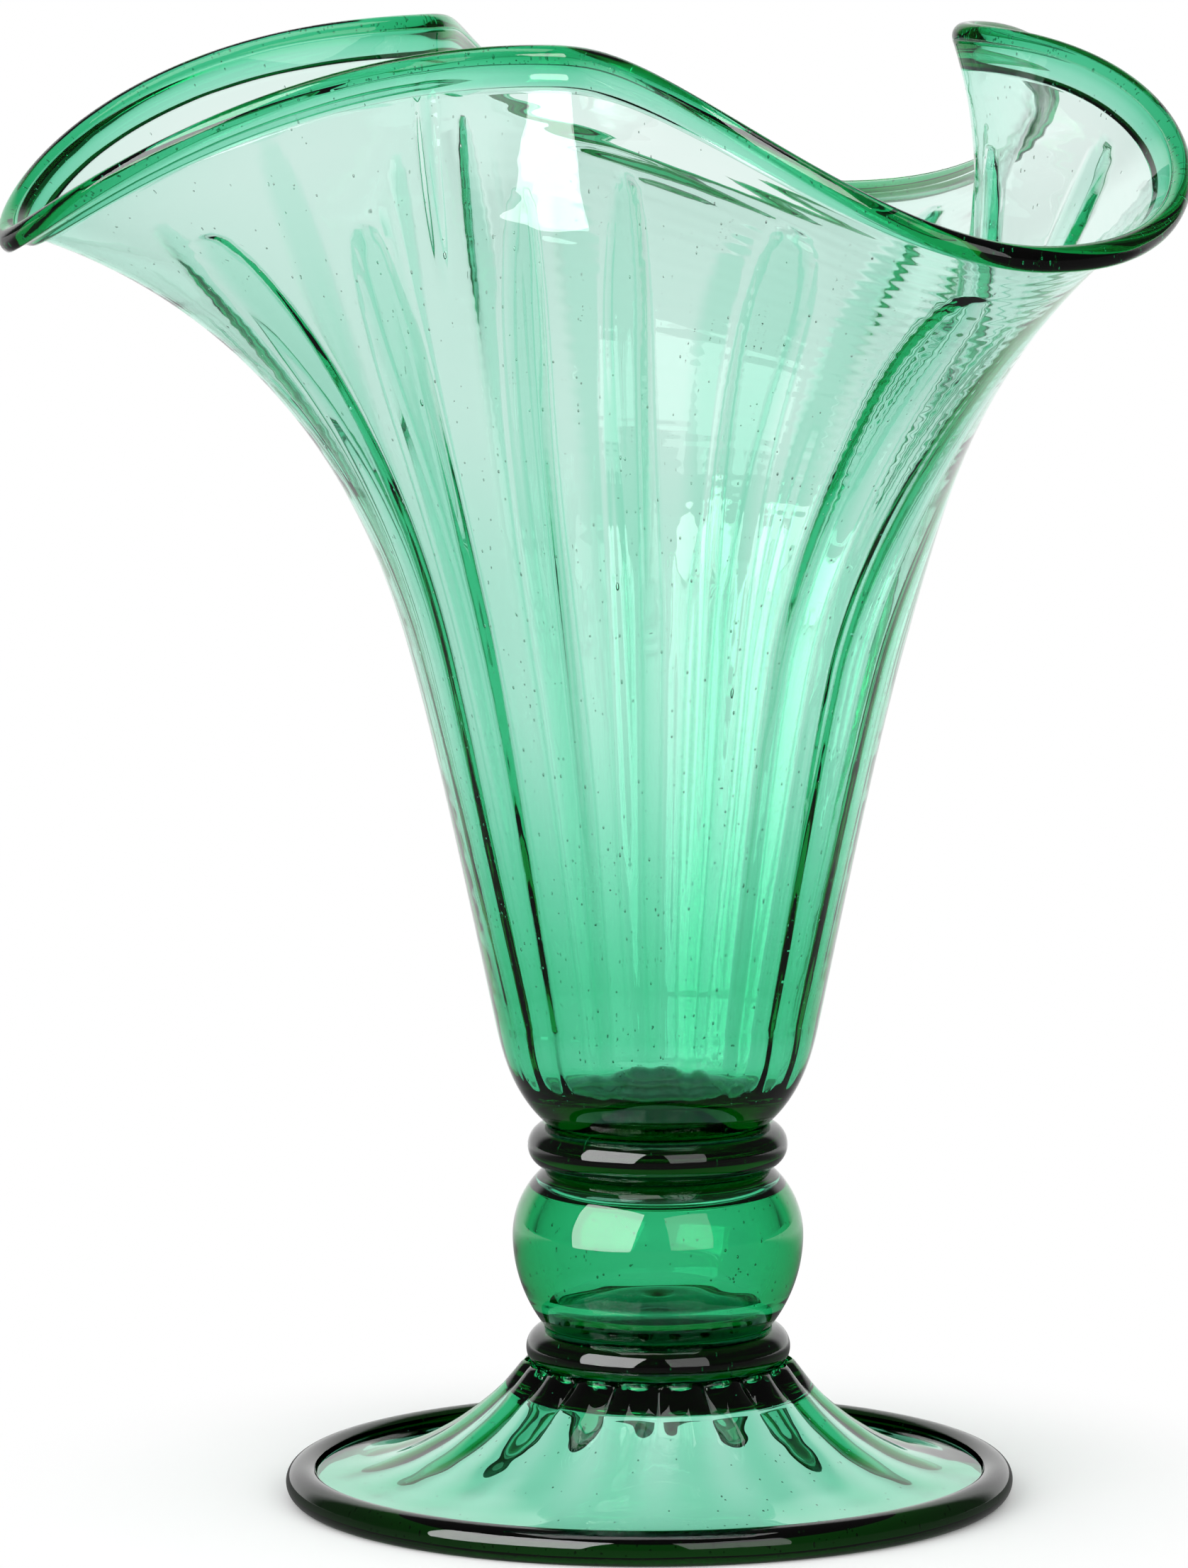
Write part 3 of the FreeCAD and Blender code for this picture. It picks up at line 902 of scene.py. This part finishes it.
def air_material():
    """The skin of an air bubble, seen from the glass around it."""
    material, tree = add_material("air_bubble")
    shader = add_node(tree, "BsdfPrincipled", {**clear_skin, "IOR": glass_index})
    add_node(tree, "OutputMaterial", {"Surface": shader.outputs["BSDF"]})
    return material


def bubble_form():
    """Points and faces of a round bubble, whose skin faces in, away from the glass."""
    form = bmesh.new()
    bmesh.ops.create_icosphere(form, subdivisions=2, radius=1.0)
    verts = np.array([vert.co[:] for vert in form.verts])
    faces = np.array([[vert.index for vert in reversed(face.verts)] for face in form.faces])
    form.free()
    return verts, faces


air = air_material()
bubble_verts, bubble_faces = bubble_form()


def make_bubbles(name, bubbles):
    """Air bubbles as (place in mm, half sizes in mm, way that the last half size points)."""
    verts, faces = [], []
    for place, sizes, way in bubbles:
        turn = np.array(Vector(way).to_track_quat("Z", "Y").to_matrix())
        faces.append(bubble_faces + len(verts) * len(bubble_verts))
        verts.append((bubble_verts * sizes) @ turn.T + place)
    mesh = bpy.data.meshes.new(name)
    mesh.from_pydata((np.concatenate(verts) * mm).tolist(), [], np.concatenate(faces).tolist())
    mesh.shade_smooth()
    mesh.materials.append(air)
    piece = add_object(name, mesh)
    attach(piece, "root")


def on_wall(distance, turn, out):
    """A place in the bowl's wall, and the way up the wall there."""
    index = int(turn / 360 * around) % around
    radius, height = wall_place(distance, out)
    further = wall_place(distance + 1, out)
    side = np.array((math.cos(angles[index]), math.sin(angles[index]), 0.0))
    place = side * radius[index] + (stem_offset, 0.0, height[index])
    above = side * further[0][index] + (stem_offset, 0.0, further[1][index])
    return place, above - place


def round_stem(turn, radius, height):
    return np.array((stem_offset + radius * math.cos(turn), radius * math.sin(turn), height))


def any_turn():
    return random.uniform(0, 2 * math.pi)


def seed(size, stretch):
    """The half sizes of a seed, which is drawn out by up to the given stretch."""
    size *= random.uniform(*seed_size_shares)
    return size, size, size * random.uniform(1.0, stretch)


def bowl_bubbles():
    found = []
    for index in range(bowl_seed_count):
        distance = random.uniform(bowl_seed_start, bowl_length - bowl_seed_end_gap)
        out = -wall_at(distance) * random.uniform(*bowl_seed_depth_shares)
        place, way = on_wall(distance, random.uniform(0, 360), out)
        found.append((place, seed(bowl_seed_radius, bowl_seed_stretch), way))
    for distance, turn, sizes in wall_bubbles:
        place, way = on_wall(distance, turn, -wall_at(distance) / 2)
        found.append((place, sizes, way))
    return found


def roll_bubbles():
    found = []
    middle = rim_roll_radius - bowl_rim_wall
    for index in range(roll_seed_count):
        reach = rim_roll_radius * seed_reach_share * math.sqrt(random.random())
        turn = any_turn()
        place, way = on_wall(bowl_length, random.uniform(0, 360), middle + reach * math.cos(turn))
        place[2] += max(reach * math.sin(turn), 0.0)
        found.append((place, seed(stem_seed_radius, roll_seed_stretch), way))
    return found


def stem_bubbles():
    """Seeds in the wafers, the upper with the bowl's thick bottom, and in the ball's wall."""
    found = []
    bands = ((foot_top, ball_bottom, lower_merese_radius - lower_wafer_seed_room,
              lower_wafer_seeds),
             (ball_top, bowl_bottom + bowl_floor, upper_merese_radius - upper_wafer_seed_room,
              upper_wafer_seeds))
    for low, high, reach, count in bands:
        for index in range(count):
            radius = reach * math.sqrt(random.uniform(*wafer_seed_shares))
            turn = any_turn()
            height = random.uniform(low + wafer_seed_gap, high - wafer_seed_gap)
            found.append((round_stem(turn, radius, height),
                          seed(stem_seed_radius, stem_seed_stretch), (0, 0, 1)))
    for index in range(ball_seed_count):
        height = random.uniform(ball_seed_end_gap, ball_height - ball_seed_end_gap)
        radius = ball_outline(height, ball_wall * random.uniform(*ball_seed_depth_shares))
        place = round_stem(any_turn(), radius, ball_bottom + height)
        found.append((place, seed(stem_seed_radius, stem_seed_stretch), (0, 0, 1)))
    return found


def foot_seeds():
    found = []
    for index in range(foot_seed_count):
        share = random.uniform(*foot_seed_shares)
        slope = foot_slope(share)
        depth = foot_wall * random.uniform(*foot_seed_depth_shares)
        radius, height = foot_outline(share)
        radius -= depth * math.sin(slope)
        turn = any_turn()
        place = np.array((radius * math.cos(turn) + stem_offset * (1 - share),
                          radius * math.sin(turn), height - depth * math.cos(slope)))
        way = (math.cos(turn), math.sin(turn), -math.tan(slope))
        found.append((place, seed(bowl_seed_radius, foot_seed_stretch), way))
    return found


def ring_seeds():
    found = []
    for index in range(ring_seed_count):
        turn, spin = any_turn(), any_turn()
        reach = foot_roll_radius * seed_reach_share * math.sqrt(random.random())
        radius = foot_radius - foot_roll_radius + reach * math.cos(spin)
        place = np.array((radius * math.cos(turn), radius * math.sin(turn),
                          foot_roll_radius + reach * math.sin(spin) * seed_reach_share))
        way = (-math.sin(turn), math.cos(turn), 0)
        found.append((place, seed(stem_seed_radius, roll_seed_stretch), way))
    return found


def neck_beads():
    """Where the ribs of the foot meet the wafer: beads of air, and a crackle of thin flakes."""
    found = []
    rib_turn = 2 * math.pi / rib_count
    for rib in range(rib_count):
        turn = rib * rib_turn
        place = round_stem(turn, foot_neck_radius - bead_depth, foot_top - bead_depth)
        found.append((place, bead_half_sizes, (-math.sin(turn), math.cos(turn), 0)))
    for rib in range(rib_count):
        for index in range(crackle_count):
            turn = (rib + random.uniform(*crackle_side_shares)) * rib_turn
            radius = foot_neck_radius - random.uniform(*crackle_insets)
            place = round_stem(turn, radius, foot_top - random.uniform(*crackle_drops))
            size = crackle_radius * random.uniform(*crackle_size_shares)
            way = (math.cos(turn) + random.uniform(-1, 1), math.sin(turn) + random.uniform(-1, 1),
                   random.uniform(*crackle_rises))
            found.append((place, (size, size * crackle_width_share, crackle_half_thickness), way))
    return found


make_bubbles("bowl_seeds", bowl_bubbles())
make_bubbles("rim_seeds", roll_bubbles())
make_bubbles("stem_seeds", stem_bubbles())
make_bubbles("foot_seeds", foot_seeds() + ring_seeds() + neck_beads())


# Floor, light and background

room_light = 0.6
room_gloss = 0.07
room_beside = 0.2
# Where the white screens at the back and front begin and end, as the Y of a way out of the vase
screen_edges = (0.62, 0.80)
floor_half_size = 12.0
floor_colour = (0.97, 0.97, 0.97, 1)
floor_near_share = 0.9
floor_gloss = 0.15
# In metres: how far off the floor turns white, and how far behind its mirror image does
floor_white_edges = (0.06, 0.15)
floor_mirror_edges = (0.1, 0.5)
lamp_aim_height = 0.15
# Name, angle from the front, height, distance, size, power, and brightness in the glass
softboxes = (("left_softbox", -46, 0.66, 1.4, (1.5, 1.5), 17, 8),
             ("right_softbox", 27, 0.66, 1.5, (1.0, 1.2), 11, 2.2),
             ("top_softbox", 0, 1.9, 0.3, (1.6, 0.8), 5, 2.5))


def add_sheet(name, x, y, material):
    """A flat rectangle of half sizes x and y, in metres."""
    mesh = bpy.data.meshes.new(name)
    mesh.from_pydata([(-x, -y, 0), (x, -y, 0), (x, y, 0), (-x, y, 0)], [], [(0, 1, 2, 3)])
    mesh.materials.append(material)
    return add_object(name, mesh)


def make_floor():
    material, tree = add_material("floor_paper")
    paper = add_node(tree, "BsdfPrincipled", {"Base Color": floor_colour, "Roughness": 1.0,
                                              "Specular IOR Level": 0.0})
    place = add_node(tree, "TexCoord").outputs["Object"]
    path = add_node(tree, "LightPath").outputs
    # What passes through glass counts as glossy too, so it is taken out here
    mirrored = worked_out(tree, "SUBTRACT", path["Is Glossy Ray"], path["Is Transmission Ray"],
                          clamp=True)
    # The glass mirrors the paper behind it, and a dimmer room beside and in front
    axes = add_node(tree, "SeparateXYZ", {"Vector": place}).outputs
    behind = eased(tree, axes["Y"], floor_mirror_edges, floor_gloss)
    white = add_node(tree, "Emission", {"Strength": mapped(tree, mirrored, 1.0, behind)})
    # Away from the vase the paper shows as the white background, to all but diffuse rays.
    # Through the glass it shows bright close by too, and its mirror image is plain there as
    # well, with none of the lamps' light on it.
    reach = add_node(tree, "VectorMath", {0: place}, operation="LENGTH").outputs["Value"]
    far = eased(tree, reach, floor_white_edges, 0.0)
    near = worked_out(tree, "MULTIPLY", path["Is Transmission Ray"], floor_near_share)
    share = worked_out(tree, "MAXIMUM", worked_out(tree, "MAXIMUM", near, far), mirrored)
    seen = worked_out(tree, "SUBTRACT", 1.0, path["Is Diffuse Ray"])
    share = worked_out(tree, "MULTIPLY", share, seen)
    mix = add_node(tree, "MixShader", {0: share, 1: paper.outputs["BSDF"],
                                       2: white.outputs["Emission"]})
    add_node(tree, "OutputMaterial", {"Surface": mix.outputs["Shader"]})
    floor = add_sheet("floor", floor_half_size, floor_half_size, material)


def make_world():
    """White to the camera, and to the glass white screens with a dimmer room beside them."""
    world = bpy.data.worlds.new("studio")
    bpy.context.scene.world = world
    world.use_nodes = True
    tree = world.node_tree
    path = add_node(tree, "LightPath").outputs
    place = add_node(tree, "TexCoord").outputs["Generated"]
    ahead = add_node(tree, "SeparateXYZ", {"Vector": place}).outputs["Y"]
    # The glass mirrors a screen at the back alone
    behind = eased(tree, ahead, screen_edges, room_gloss)
    room = mapped(tree, path["Is Glossy Ray"], room_light, behind)
    # Through the glass, screens show at the back and the front
    screens = eased(tree, worked_out(tree, "ABSOLUTE", ahead), screen_edges, room_beside)
    through = mapped(tree, path["Is Transmission Ray"], 1.0, screens)
    seen = worked_out(tree, "MAXIMUM", path["Is Camera Ray"], path["Is Transmission Ray"])
    back = tree.nodes["Background"]
    back.inputs["Color"].default_value = (1, 1, 1, 1)
    tree.links.new(mapped(tree, seen, room, through), back.inputs["Strength"])


def softbox(name, azimuth, height, distance, size, power, brightness):
    """A soft light that faces the vase, azimuth 0 being the front."""
    data = bpy.data.lights.new(name, "AREA")
    data.shape = "RECTANGLE"
    data.size, data.size_y = size
    data.energy = power
    lamp = add_object(name, data)
    turn = math.radians(azimuth)
    lamp.location = (distance * math.sin(turn), -distance * math.cos(turn), height)
    aim = Vector((0, 0, lamp_aim_height)) - lamp.location
    lamp.rotation_euler = aim.to_track_quat("-Z", "Y").to_euler()
    lamp.visible_glossy = False
    lamp.visible_transmission = False
    # Its front, as bright as the glass mirrors it, lights nothing else
    material, tree = add_material(name + "_front")
    shine = add_node(tree, "Emission", {"Strength": brightness})
    add_node(tree, "OutputMaterial", {"Surface": shine.outputs["Emission"]})
    front = add_sheet(name + "_front", size[0] / 2, size[1] / 2, material)
    front.location = lamp.location
    front.rotation_euler = lamp.rotation_euler
    front.visible_camera = False
    front.visible_diffuse = False
    front.visible_shadow = False


make_floor()
make_world()
for box in softboxes:
    softbox(*box)

scene = bpy.context.scene
scene.view_settings.view_transform = "Standard"
scene.cycles.max_bounces = 32
scene.cycles.transmission_bounces = 32
scene.cycles.glossy_bounces = 12
